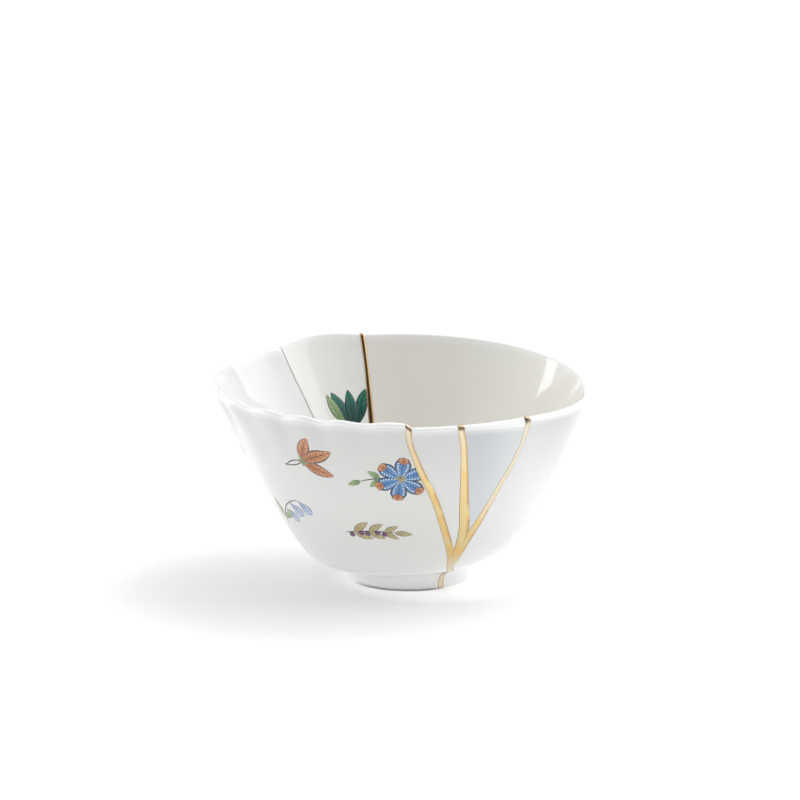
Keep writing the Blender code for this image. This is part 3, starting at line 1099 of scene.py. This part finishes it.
@dataclass(frozen=True)
class Gold:
    """The gold that joins the shards.

    Attributes:
        rim: The bowl's rim, which knows its form and its seams.
        across: How many points cross a band's top.
        under: How many points cross its underside.
        proud: How far it stands out of the glaze.
        sunk: How deep it reaches into the wall, as a share of its thickness.
        sunk_lip: The same for the lip.
    """

    rim: Rim
    across: int = 13
    under: int = 5
    proud: float = 0.00034
    sunk: float = 0.55
    sunk_lip: float = 0.4

    def edges(self, seam: Seam) -> tuple[Grid, Grid, Grid]:
        """Return a seam's two edges on the glaze and the glaze's normal, row by row.

        On the wall each edge lies on its own shard, half the seam's width to
        the side of the seam's middle.

        Args:
            seam: The seam.

        Returns:
            One edge, the other edge and the normals.
        """
        form, lines = self.rim.form, self.rim.lines
        azimuth, width = lines.azimuth[seam], lines.width[seam]
        lower = next(shard for shard in SHARDS if shard.last is seam)
        upper = next(shard for shard in SHARDS if shard.first is seam)
        (middle,), (normal,) = form.surface(azimuth[None], self.rim.of(upper))
        turning = unit(np.cross(np.gradient(middle, axis=0), normal))
        angle = np.radians(azimuth)
        level = np.stack((-np.sin(angle), np.cos(angle), np.zeros_like(angle)), -1)
        aside = np.sum(turning * level, -1)
        radius = np.maximum(np.hypot(middle[:, 0], middle[:, 1]), 0.004)
        half = np.degrees(width / 2.0 / np.maximum(np.abs(aside), 0.5) / radius)
        (one,), _ = form.surface((azimuth - half)[None], self.rim.of(lower))
        (two,), _ = form.surface((azimuth + half + upper.turn)[None], self.rim.of(upper))
        base = np.r_[0:form.half, form.rows - form.half:form.rows]
        flat = turning * (np.sign(aside) * width / 2.0)[:, None]
        one[base] = (middle - flat)[base]
        two[base] = (middle + flat)[base]
        return one, two, normal

    def depth(self) -> Grid:
        """Return how deep the gold reaches into the wall on each row.

        Returns:
            The depths.
        """
        form = self.rim.form
        deep = self.sunk * form.thickness(form.row_t)
        lip = form.half + form.wall_rows
        deep[lip:lip + form.lip_rows] = self.sunk_lip * form.wall_at_rim
        return deep

    def band(self, one: Grid, two: Grid, normal: Grid, proud: Grid,
             deep: Grid) -> tuple[Grid, Grid]:
        """Return a rounded band between two edges.

        Across the band the height is the outward part of an ellipse, and below
        the glaze the band is a box that narrows a little.

        Args:
            one: One edge's places.
            two: The other edge's places.
            normal: The glaze's outward normals.
            proud: How far the band stands out, place by place.
            deep: How deep it reaches, place by place.

        Returns:
            Places, rows by points round the band, and how far each is to one side, -1 to 1.
        """
        turn = np.linspace(math.pi, 0.0, self.across)
        top = np.cos(turn)
        low = np.linspace(0.9, -0.9, self.under)
        s = np.concatenate((top, low))
        lift = np.concatenate((np.sin(turn) ** 1.1, np.zeros(self.under)))
        drop = np.concatenate((np.zeros(self.across), np.ones(self.under)))
        middle = ((one + two) / 2.0)[:, None]
        reach = ((two - one) / 2.0)[:, None]
        height = lift * proud[:, None] - drop * deep[:, None]
        points = middle + s[None, :, None] * reach + height[..., None] * normal[:, None]
        points[..., 2] = np.maximum(points[..., 2], 0.0)
        return points, np.broadcast_to(s, points.shape[:2])

    def hand(self, count: int, seed: float) -> Grid:
        """Return a slow unevenness of about one, a sum of three sines, as a brush leaves."""
        place = np.linspace(0.0, 1.0, count)
        return (1.0 + 0.07 * np.sin(17.0 * place + seed) + 0.05 * np.sin(41.0 * place + 2 * seed)
                + 0.03 * np.sin(83.0 * place + 3 * seed))

    def seam(self, name: str, edges: Sequence[Grid], rows: Grid, seed: float,
             ring: bool = False) -> bpy.types.Object:
        """Make a seam's band, closed to a ring or thinning out to both its ends.

        Args:
            name: The piece's name.
            edges: Its two edges and the glaze's normal, place by place.
            rows: The form's row at each place.
            seed: Sets its unevenness.
            ring: Whether it is a ring.

        Returns:
            The piece.
        """
        form, across, count = self.rim.form, self.across, len(rows)
        proud = self.proud * self.hand(count, seed)
        if not ring:
            order = np.arange(count)
            proud = proud * (0.3 + 0.7 * smooth_step(np.minimum(order, order[::-1]) / 6.0))
        points, side = self.band(*edges, proud, self.depth()[rows])
        around = points.shape[1]
        faces = [grid_faces(count, around, ring, True)]
        for start in () if ring else (0, (count - 1) * around):
            faces.append(fold_faces(start, across))
            faces.append(start + np.array([[0, across - 1, across, around - 1],
                                           [across, across + 1, around - 2, around - 1]]))
        fields = {"side": side, "inside": form.inward[rows, None], "brim": form.brim[rows, None]}
        return make_piece(name, points, np.concatenate(faces), fields)

    def long_seam(self) -> bpy.types.Object:
        """Build the seam from the front rim under the floor to the back rim, as one ring.

        Returns:
            The piece.
        """
        there = np.arange(self.rim.form.rows)
        again = there[-2:0:-1]
        far_two, far_one, far_normal = self.edges(Seam.BACK)
        edges = [np.concatenate((near, far[again])) for near, far in
                 zip(self.edges(Seam.RIGHT), (far_one, far_two, far_normal))]
        return self.seam("gold_long_seam", edges, np.concatenate((there, again)), 0.7, True)

    def branch(self, seam: Seam, seed: float) -> bpy.types.Object:
        """Build a seam that runs from the rim down both faces into the long seam.

        Args:
            seam: The seam.
            seed: Sets its unevenness.

        Returns:
            The piece.
        """
        form = self.rim.form
        low = int(np.flatnonzero(form.row_t > self.rim.lines.foot_of(seam))[0]) - 2
        rows = np.arange(low, form.rows - low)
        edges = [part[rows] for part in self.edges(seam)]
        return self.seam(f"gold_{seam.name.lower()}_seam", edges, rows, seed)


@dataclass(frozen=True)
class Paint:
    """A painted part's colours.

    Attributes:
        name: The material's name.
        near: Its colour at its root.
        far: Its colour at its tip.
        line: The colour of its outline and veins.
        dots: The colour of the row of dots inside its outline.
        dotted: How strong the dots are, from 0 to 1.
        veins: How many pairs of side veins it has.
    """

    name: str
    near: Color
    far: Color
    line: Color
    dots: Color = (0.85, 0.82, 0.70)
    dotted: float = 0.0
    veins: float = 5.0

    @cache
    def material(self) -> bpy.types.Material:
        """Return the finish: a wash from root to tip, veins, dots and a dark outline.

        Returns:
            The material.
        """
        g = Graph(bpy.data.materials.new(self.name))
        along, across, _ = g.parts(g.value("ShaderNodeTexCoord", {}, {}, "UV"))
        wobble = 0.10 * (g.noise(900.0, 2.0) - 0.5)
        wash = g.blend(g.ramp(along + wobble, 0.25, 0.85), self.near, self.far)
        clouds = g.ramp(g.noise(700.0, 3.0), 0.35, 0.7)
        wash = g.blend(0.35 * clouds, wash, tuple(0.5 * c for c in self.near))
        ripple = g.value("ShaderNodeMath", {"operation": "SINE"},
                         {0: math.tau * (self.veins * along - 1.3 * across)})
        color = g.blend(0.55 * g.ramp(ripple, 0.72, 0.98), wash, self.line)
        color = g.blend(0.8 - 0.8 * g.ramp(across, 0.02, 0.12), color, self.line)
        beads = g.value("ShaderNodeMath", {"operation": "COSINE"}, {0: 60.0 * along})
        row = g.ramp(across, 0.42, 0.52) - g.ramp(across, 0.66, 0.76)
        color = g.blend(self.dotted * g.ramp(beads, 0.0, 0.5) * row, color, self.dots)
        color = g.blend(g.ramp(across + wobble, 0.74, 0.90), color, self.line)
        g.feed(g.shader, {"Base Color": color, "Roughness": 0.22, "Coat Weight": 0.6,
                          "Coat Roughness": 0.04})
        return g.owner


@dataclass(frozen=True)
class Stroke:
    """A petal, leaf or stem of a painted sprig, drawn flat.

    Attributes:
        root: Where it starts: across and up, from the sprig's middle.
        heading: Which way it sets out, anticlockwise from straight across.
        length: Its length.
        width: Its width where it is widest.
        bend: How far it turns over its length, anticlockwise.
        widest: How far along it is widest, as a share of its length.
        blunt: How blunt its ends are: 1 is pointed, less is rounder.
        layer: How many layers of paint lie under it.
    """

    root: tuple[float, float]
    heading: float
    length: float
    width: float
    bend: float = 0.0
    widest: float = 0.5
    blunt: float = 0.75
    layer: int = 0

    def scaled(self, size: float) -> "Stroke":
        """Return the stroke at another size, round the sprig's middle."""
        root = (size * self.root[0], size * self.root[1])
        return replace(self, root=root, length=size * self.length, width=size * self.width)

    def tip(self, share: float = 1.0) -> tuple[float, float]:
        """Return the point a share of the way along.

        Args:
            share: How far along, from 0 at the root to 1 at the tip.

        Returns:
            The point, across and up.
        """
        turn = math.radians(self.heading + 0.5 * self.bend * share)
        reach = self.length * share
        return self.root[0] + reach * math.cos(turn), self.root[1] + reach * math.sin(turn)

    def outline(self, steps: int, across: int) -> tuple[Grid, Grid]:
        """Return flat points, along by across by two, and their map coordinates.

        The middle line is an arc; the width over it is a sine whose top is
        moved along to the widest place, to the power of the bluntness.

        Args:
            steps: How many points it has along.
            across: How many it has across.

        Returns:
            The points and their map coordinates.
        """
        u = np.linspace(0.0, 1.0, steps)
        turn = np.radians(self.heading + self.bend * u)
        step = self.length / (steps - 1)
        heading = np.stack((np.cos(turn), np.sin(turn)), -1)
        middle = np.asarray(self.root) + step * (np.cumsum(heading, axis=0) - heading)
        power = math.log(0.5) / math.log(self.widest)
        half = 0.5 * self.width * np.sin(np.pi * u ** power).clip(0.0) ** self.blunt
        side = np.stack((-heading[:, 1], heading[:, 0]), -1)
        v = np.linspace(-1.0, 1.0, across)
        flat = middle[:, None] + (half[:, None] * v)[..., None] * side[:, None]
        chart = np.stack(np.broadcast_arrays(u[:, None], np.abs(v)[None]), -1)
        return flat, chart


@dataclass
class Canvas:
    """A patch of a shard's glaze, on which flat drawings are laid.

    Attributes:
        rim: The bowl's rim, which knows its form and its seams.
        shard: The shard that is painted.
        side: The face that is painted.
        azimuth: The azimuth of the patch's middle.
        share: Its height, as a share of the bowl's.
        lift: How far the paint lies off the glaze.
        layer: How thick a layer of paint is.
        sunk: How deep its underside lies in the glaze.
    """

    rim: Rim
    shard: Shard
    side: Side
    azimuth: float
    share: float
    lift: float = 0.00003
    layer: float = 0.000012
    sunk: float = 0.00010

    def __post_init__(self) -> None:
        """Unroll the wall along the patch's azimuth."""
        form = self.rim.form
        self.t = np.linspace(form.fillet_end, 1.0, 200)
        line, _ = form.wall(np.full_like(self.t, self.azimuth), self.t)
        steps = np.linalg.norm(np.diff(line, axis=0), axis=1)
        self.climb = np.concatenate(([0.0], np.cumsum(steps)))
        self.radius = line[:, 0]
        start = form.height_to_t(self.azimuth, self.share)
        self.start = np.interp(start, self.t, self.climb)

    def press(self, flat: Grid, lift: float) -> Grid:
        """Return the places on the glaze of flat points, lifted off it.

        Points past a seam stay at it, under the gold.

        Args:
            flat: Points across and up on the flat drawing.
            lift: How far they are lifted.

        Returns:
            The places.
        """
        rim, shard = self.rim, self.shard
        t = np.interp(self.start + flat[..., 1], self.climb, self.t)
        turn = np.degrees(flat[..., 0] / np.interp(t, self.t, self.radius))
        outside = self.side is Side.OUTSIDE
        azimuth = np.clip(self.azimuth + (turn if outside else -turn),
                          rim.seam_azimuth(shard.first, t) + shard.turn,
                          rim.seam_azimuth(shard.last, t))
        points, normals = rim.form.wall(azimuth, t, rim.of(shard)(azimuth, t), outside)
        away = lift if outside else -(rim.form.thickness(t[..., None]) + lift)
        return rim.form.place(azimuth, points + away * normals)

    def draw(self, name: str, strokes: Sequence[Stroke]) -> bpy.types.Object:
        """Lay strokes of one colour on the glaze as one thin piece.

        Args:
            name: The piece's name.
            strokes: The strokes.

        Returns:
            The piece.
        """
        points, charts, faces, count = [], [], [], 0
        for number, stroke in enumerate(strokes):
            across = 9 if stroke.width > 0.0008 else 3
            steps = max(7, round(stroke.length / 0.0006))
            flat, chart = stroke.outline(steps, across)
            lift = self.lift + self.layer * (stroke.layer + 0.15 * (number % 5))
            ends = [-1, 0]
            ring = np.concatenate((self.press(flat, lift),
                                   self.press(flat[:, ends], -self.sunk)), axis=1)
            faces.append(count + grid_faces(steps, across + 2, False, True))
            for end in (0, steps - 1):
                faces.append(fold_faces(count + end * (across + 2), across))
            points.append(ring.reshape(-1, 3))
            charts.append(np.concatenate((chart, chart[:, ends]), axis=1).reshape(-1, 2))
            count += len(points[-1])
        return make_piece(name, np.concatenate(points), np.concatenate(faces),
                          uv=np.concatenate(charts))


BLUE = Paint("paint_blue", (0.10, 0.30, 0.62), (0.05, 0.19, 0.48), (0.03, 0.05, 0.09),
             dotted=0.9)
RUST = Paint("paint_rust", (0.46, 0.15, 0.05), (0.62, 0.27, 0.11), (0.09, 0.04, 0.03),
             (0.80, 0.55, 0.32), 0.5)
STRAW = Paint("paint_straw", (0.48, 0.42, 0.15), (0.62, 0.56, 0.28), (0.13, 0.08, 0.10),
              (0.25, 0.13, 0.20), 0.6)
PLUM = Paint("paint_plum", (0.16, 0.06, 0.17), (0.25, 0.10, 0.20), (0.05, 0.02, 0.05))
LILAC = Paint("paint_lilac", (0.33, 0.40, 0.62), (0.55, 0.62, 0.76), (0.10, 0.13, 0.24),
              (0.85, 0.88, 0.92), 0.7)
GREEN = Paint("paint_green", (0.02, 0.09, 0.07), (0.05, 0.22, 0.16), (0.01, 0.03, 0.03),
              veins=7.0)
MOSS = Paint("paint_moss", (0.22, 0.33, 0.13), (0.38, 0.50, 0.24), (0.04, 0.08, 0.04))
INK = Paint("paint_ink", (0.06, 0.05, 0.05), (0.10, 0.09, 0.09), (0.05, 0.04, 0.04))


Motif = Sequence[tuple[Paint, Sequence[Stroke]]]
MIDDLE = (0.0, 0.0)
STEM_WIDTH = 0.00045


def rosette(petals: int, length: float, width: float, turn: float, **shape: Any) -> list[Stroke]:
    """Return petals all round the middle, every other one a layer higher."""
    return [Stroke(MIDDLE, turn + 360.0 * i / petals, length, width, layer=1 + i % 2, **shape)
            for i in range(petals)]


def twig(root: tuple[float, float], heading: float, length: float, bend: float, pairs: int,
         leaf: float, width: float, spread: float = 48.0) -> tuple[list[Stroke], list[Stroke]]:
    """Return a stem and its leaves, in pairs that get smaller towards its tip, and one last.

    Args:
        root: Where the stem starts.
        heading: Which way it sets out.
        length: Its length.
        bend: How far it turns.
        pairs: How many pairs of leaves it has.
        leaf: The first leaves' length.
        width: The first leaves' width.
        spread: The angle between a leaf and the stem.

    Returns:
        The stem, and the leaves.
    """
    stem = Stroke(root, heading, length, STEM_WIDTH, bend, blunt=0.3)
    leaves = [Stroke(stem.tip(0.97), heading + bend, 0.8 * leaf, 0.8 * width, layer=1,
                     widest=0.42)]
    for i in range(pairs):
        share = (i + 0.7) / (pairs + 0.4)
        size = 1.0 - 0.35 * share
        for way in (-1.0, 1.0):
            turn = heading + bend * share + way * spread
            leaves.append(Stroke(stem.tip(share), turn, size * leaf, size * width,
                                 -way * 18.0, widest=0.42, layer=1 + i % 2))
    return [stem], leaves


def blossom(turn: float) -> Motif:
    """Draw a blue blossom with rusty tips on a short twig.

    Args:
        turn: Which way it is turned, anticlockwise.

    Returns:
        Its strokes by colour.
    """
    stem, leaves = twig(MIDDLE, turn + 150.0, 0.0125, 30.0, 1, 0.0055, 0.0024)
    petals = rosette(6, 0.0078, 0.0050, turn, widest=0.66, blunt=0.55)
    tips = [Stroke(petal.tip(0.72), petal.heading, 0.0026, 0.0036, layer=4, blunt=0.5)
            for petal in petals]
    return ((INK, stem), (MOSS, leaves), (BLUE, petals), (RUST, tips),
            (STRAW, rosette(8, 0.0018, 0.0010, turn + 10.0)))


def berries(turn: float) -> Motif:
    """Draw a straw-coloured sprig with dark berries.

    Args:
        turn: Which way it is turned, anticlockwise.

    Returns:
        Its strokes by colour.
    """
    stem, leaves = twig((-0.0085, -0.0010), turn, 0.0160, -22.0, 3, 0.0068, 0.0027, 40.0)
    fruit = [Stroke(stem[0].tip(0.12 + 0.16 * i), turn - 80.0 + 38.0 * (i % 2), 0.0021,
                    0.0017, layer=4, blunt=0.5) for i in range(5)]
    return (INK, stem), (STRAW, leaves), (PLUM, fruit)


def autumn(turn: float) -> Motif:
    """Draw three rusty leaves and two fine tendrils.

    Args:
        turn: Which way it is turned, anticlockwise.

    Returns:
        Its strokes by colour.
    """
    leaves = [Stroke(MIDDLE, turn + way, length, 0.0044, bend, widest=0.46, layer=i)
              for i, (way, length, bend) in enumerate(
                  ((-62.0, 0.0105, 26.0), (52.0, 0.0098, -30.0), (-4.0, 0.0120, 8.0)))]
    tendrils = [Stroke(MIDDLE, turn + way, 0.0090, 0.0004, bend, blunt=0.3)
                for way, bend in ((152.0, 60.0), (196.0, -50.0))]
    return (INK, tendrils), (RUST, leaves), (MOSS, rosette(5, 0.0022, 0.0012, turn + 20.0))


def bells(turn: float) -> Motif:
    """Draw a nodding stem with lilac bells.

    Args:
        turn: Which way it is turned, anticlockwise.

    Returns:
        Its strokes by colour.
    """
    stem = Stroke((-0.0040, -0.0085), turn, 0.0190, STEM_WIDTH, -60.0, blunt=0.3)
    heads = [Stroke(stem.tip(place), turn - 95.0 - 30.0 * place, 0.0062, 0.0040,
                    widest=0.68, blunt=0.6, layer=1) for place in (0.45, 0.72, 0.97)]
    leaves = [Stroke(stem.tip(0.15), turn + way, 0.0075, 0.0022, -0.5 * way, layer=1)
              for way in (40.0, -44.0)]
    return (INK, [stem]), (LILAC, heads), (MOSS, leaves)


def leaf_fan(turn: float) -> Motif:
    """Draw a fan of broad leaves.

    Args:
        turn: Which way it is turned, anticlockwise.

    Returns:
        Its strokes by colour.
    """
    fan = [Stroke((0.0008 * i, 0.0), turn - 22.0 * i, 0.0125 - 0.0010 * (i % 2), 0.0040,
                  8.0 - 6.0 * i, layer=i % 2) for i in range(3)]
    pale = [Stroke((-0.0022, 0.001), turn + 12.0, 0.0110, 0.0032, -16.0, layer=2)]
    return (GREEN, fan), (MOSS, pale)


@dataclass(frozen=True)
class Sprig:
    """A motif and where it is painted.

    Attributes:
        name: The sprig's name.
        motif: What is painted.
        azimuth: Its middle's azimuth.
        share: Its middle's height, as a share of the bowl's.
        node: The CAD node of the shard that it is on.
        side: The face that it is on.
        size: Its size, next to what the motif was drawn at.
    """

    name: str
    motif: Motif
    azimuth: float
    share: float
    node: str = "left_shard"
    side: Side = Side.OUTSIDE
    size: float = 1.22

    def paint(self, rim: Rim) -> None:
        """Paint the sprig, as a piece for each of its colours.

        Args:
            rim: The bowl's rim.
        """
        shard = next(shard for shard in SHARDS if shard.node == self.node)
        canvas = Canvas(rim, shard, self.side, self.azimuth, self.share)
        for paint, strokes in self.motif:
            piece = canvas.draw(f"{self.name}_{paint.name.removeprefix('paint_')}",
                                [stroke.scaled(self.size) for stroke in strokes])
            dress(piece, Slot.PORCELAIN, paint.material())


SPRIGS = (
    Sprig("blossom_by_the_seam", blossom(20.0), -90.5, 0.70),
    Sprig("berries_low", berries(12.0), -104.0, 0.40),
    Sprig("autumn_leaves_high", autumn(24.0), -124.0, 0.76),
    Sprig("bells_left", bells(70.0), -148.0, 0.46),
    Sprig("blossom_behind", blossom(60.0), -176.0, 0.68),
    Sprig("autumn_leaves_behind", autumn(-30.0), -198.0, 0.42),
    Sprig("leaves_inside", leaf_fan(112.0), 110.5, 0.57, "back_wedge", Side.INSIDE),
)


# The studio


@dataclass(frozen=True)
class Patch:
    """A part of the room that is brighter or darker than the rest.

    Attributes:
        turn: The azimuth of its middle.
        tilt: Its middle's height over the horizon, in degrees.
        core: How far from its middle it keeps its full gain, in degrees.
        reach: How far from its middle it ends.
        gain: How much brighter it is than the rest, or darker if it is negative.
    """

    turn: float
    tilt: float
    core: float
    reach: float
    gain: float


@dataclass(frozen=True)
class Studio:
    """The camera, the pale floor and the soft light.

    Attributes:
        distance: From the camera to the bowl's middle.
        elevation: The camera's height over the horizon, in degrees.
        middle_height: The height of the bowl's middle, which the camera is turned about.
        pixels_a_metre: The bowl's scale in the picture, at its middle.
        seen_at: Where the bowl's middle shows in the picture.
        picture: The picture's width.
        sensor: The width of the camera's sensor, in millimetres.
        lamps_away: From the lights to the bowl.
        floor_reach: How far the floor reaches to each side.
        room_glow: The room's brightness between its patches.
        patches: The brighter and darker parts of the room.
    """

    distance: float = 1.8
    elevation: float = 14.6
    middle_height: float = 0.0375
    pixels_a_metre: float = 2680.0
    seen_at: tuple[float, float] = (401.0, 477.3)
    picture: float = 800.0
    sensor: float = 36.0
    lamps_away: float = 1.2
    floor_reach: float = 6.0
    room_glow: float = 0.72
    patches: tuple[Patch, ...] = (
        Patch(-90.0, 31.0, 22.0, 56.0, -0.69),
        Patch(-165.0, 15.0, 20.0, 75.0, 0.70),
        Patch(40.0, 70.0, 15.0, 50.0, 0.95))

    def camera(self) -> None:
        """Point the camera as the photograph's was, turned so that no shift is needed."""
        target = Vector((0.0, 0.0, self.middle_height))
        away = Vector(direction(-90.0, self.elevation))
        up = Vector(direction(90.0, 90.0 - self.elevation))
        right = Vector((1.0, 0.0, 0.0))
        across = (self.picture / 2 - self.seen_at[0]) / self.pixels_a_metre
        above = (self.seen_at[1] - self.picture / 2) / self.pixels_a_metre
        data = bpy.data.cameras.new("camera")
        data.sensor_width = self.sensor
        data.lens = self.sensor * self.distance * self.pixels_a_metre / self.picture
        data.clip_start, data.clip_end = 0.05, 50.0
        camera = put("camera", data)
        camera.location = target + self.distance * away
        aim = target + across * right + above * up
        camera.rotation_euler = (aim - camera.location).to_track_quat("-Z", "Y").to_euler()
        bpy.context.scene.camera = camera

    def floor(self) -> None:
        """Lay the pale floor, which glows a little so that shadows on it stay faint; its glow is
        shaped into a painted shadow left of the bowl and painted light round the foot.
        """
        g = Graph(bpy.data.materials.new("floor_white"))
        foot, near, shadow = (g.value("ShaderNodeVectorMath", {"operation": "DISTANCE"},
                                      {0: g.place(), 1: middle}, "Value")
                              for middle in ((0.003, 0.0, 0.0), (0.012, -0.002, 0.0),
                                             (-0.025, -0.02, 0.0)))
        across, away, _ = g.parts(g.place())
        # Painted contact shadow in front of the foot: the floor is darker and glows less there.
        contact_shadow = (g.ramp(foot, 0.0240, 0.0233) * g.ramp(away, -0.008, -0.020)
                 * g.ramp(across, 0.018, 0.010))
        # Painted shadow and light: more glow right round the foot, less just beyond it and round a
        # point left of the bowl, and more far away.
        glow = (0.46 - 0.22 * g.ramp(near, 0.024, 0.042) + 0.18 * g.ramp(shadow, 0.055, 0.11)
                + 0.12 * g.ramp(foot, 0.25, 1.2) - 0.35 * contact_shadow)
        grey = g.value("ShaderNodeCombineColor", {}, {0: glow, 1: glow, 2: glow})
        g.feed(g.shader, {
            "Base Color": g.blend(0.4 * contact_shadow, (0.68, 0.68, 0.68), (0.1, 0.1, 0.1)),
            "Roughness": 1.0, "Specular IOR Level": 0.0, "Emission Strength": 1.0,
            "Emission Color": grey})
        reach = self.floor_reach
        mesh = bpy.data.meshes.new("floor")
        mesh.from_pydata([(-reach, -reach, 0), (reach, -reach, 0), (reach, reach, 0),
                          (-reach, reach, 0)], [], [(0, 1, 2, 3)])
        mesh.materials.append(g.owner)
        put("floor", mesh)

    def light(self, name: str, turn: float, tilt: float, size: tuple[float, float],
              glow: float) -> None:
        """Hang a soft rectangular light that faces the bowl.

        Args:
            name: The light's name.
            turn: The azimuth it hangs at.
            tilt: Its height over the horizon, in degrees.
            size: Its width and height.
            glow: How bright its face is.
        """
        data = bpy.data.lights.new(name, "AREA")
        data.shape = "RECTANGLE"
        data.size, data.size_y = size
        data.energy = glow * math.pi * size[0] * size[1]
        lamp = put(name, data)
        toward = Vector(direction(turn, tilt))
        lamp.location = Vector((0.0, 0.0, 0.04)) + self.lamps_away * toward
        lamp.rotation_euler = (-toward).to_track_quat("-Z", "Y").to_euler()

    def surroundings(self) -> None:
        """Fill the room with soft light that differs by direction, before a plain white ground."""
        world = bpy.data.worlds.new("room")
        room = Graph(world, "Background")
        toward = room.value("ShaderNodeTexCoord", {}, {}, "Generated")
        glow = self.room_glow
        for patch in self.patches:
            close = room.value("ShaderNodeVectorMath", {"operation": "DOT_PRODUCT"},
                               {0: toward, 1: direction(patch.turn, patch.tilt)}, "Value")
            low, high = (math.cos(math.radians(angle)) for angle in (patch.reach, patch.core))
            glow = glow + patch.gain * room.ramp(close, low, high)
        room.feed(room.shader, {"Color": (0.97, 0.98, 1.0, 1.0), "Strength": glow})
        ground = room.value("ShaderNodeBackground", {}, {})
        seen = room.value("ShaderNodeLightPath", {}, {}, "Is Camera Ray")
        mixed = room.value("ShaderNodeMixShader", {},
                           {0: seen, 1: Signal(room, room.shader.outputs[0]), 2: ground})
        room.feed(room.tree.nodes["World Output"], {"Surface": mixed})
        bpy.context.scene.world = world

    def set_up(self) -> None:
        """Set up everything round the bowl."""
        self.camera()
        self.floor()
        self.surroundings()
        self.light("window", 14.0, 34.0, (1.4, 0.9), 2.25)
        self.light("left_strip", 155.0, 10.0, (0.22, 0.34), 3.8)
        self.light("back_strip", 123.5, 1.5, (0.12, 0.12), 4.0)
        bpy.context.scene.view_settings.view_transform = "Standard"


def main() -> None:
    """Build the bowl's pieces and the studio round it."""
    logging.basicConfig(level=logging.INFO, format="%(name)s %(message)s")
    form = Form()
    rim = Rim(form, SeamLines(form))
    porcelain = Porcelain(rim)
    for shard in SHARDS:
        piece = porcelain.build(shard)
        dress(piece, Slot.PORCELAIN, porcelain.glaze(shard).material(), shard.node)
    gold = Gold(rim)
    gilding = Gilding("bright_gold").material()
    # The pale filler of the back left seam; the grey along its sides is painted shade.
    white = (0.80, 0.80, 0.79)
    faint = Gilding("faint_filler", *(white,) * 6, (0.66, 0.66, 0.65), metallic=0.0).material()
    dress(gold.long_seam(), Slot.GOLD, gilding, "gold_seams")
    for seam, seed, finish in ((Seam.LEFT, 1.9, gilding), (Seam.MIDDLE, 3.1, gilding),
                               (Seam.BACK_LEFT, 4.4, faint)):
        dress(gold.branch(seam, seed), Slot.GOLD, finish)
    for sprig in SPRIGS:
        sprig.paint(rim)
    Studio().set_up()


if __name__ == "__main__":
    main()
